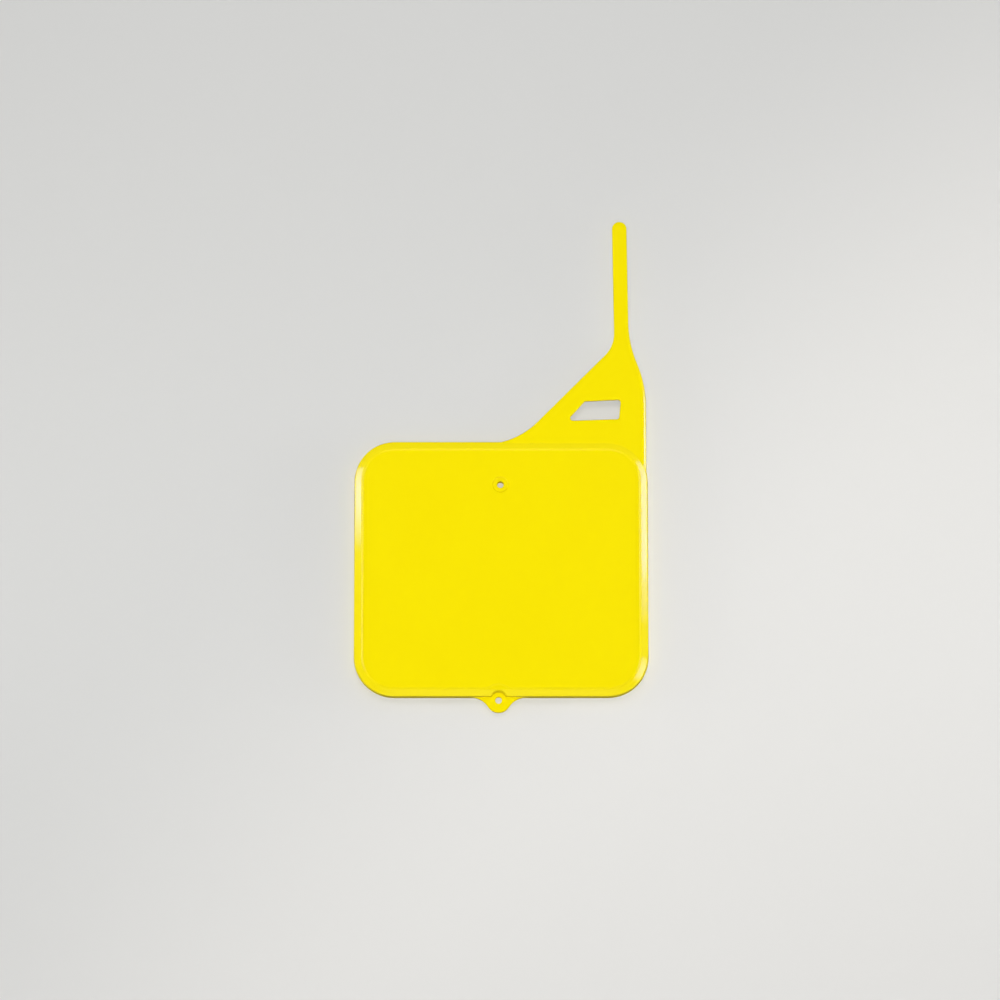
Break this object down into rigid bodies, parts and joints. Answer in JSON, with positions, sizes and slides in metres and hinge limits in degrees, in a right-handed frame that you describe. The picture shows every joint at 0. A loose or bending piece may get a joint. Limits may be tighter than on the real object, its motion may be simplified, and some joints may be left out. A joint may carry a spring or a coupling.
{
  "type": "racing number board",
  "caption": "Moulded plastic front number board for an off-road motorcycle: rimmed panel with bolt holes, hollow back, windowed arm and a long tongue that wraps the handlebar.",
  "frame": {"origin": "axis of the lower fixing hole, in the plane of the back edge that the board rests on", "axes": "+X to the right across the face, +Y from the lower hole towards the tongue, +Z out of the face"},
  "size_m": [0.254, 0.4282, 0.012],
  "materials": {
    "yellow_polypropylene": "self-coloured yellow polypropylene, satin gloss as moulded"
  },
  "bodies": {
    "root": {"number_board": "yellow_polypropylene"}
  },
  "joints": []
}
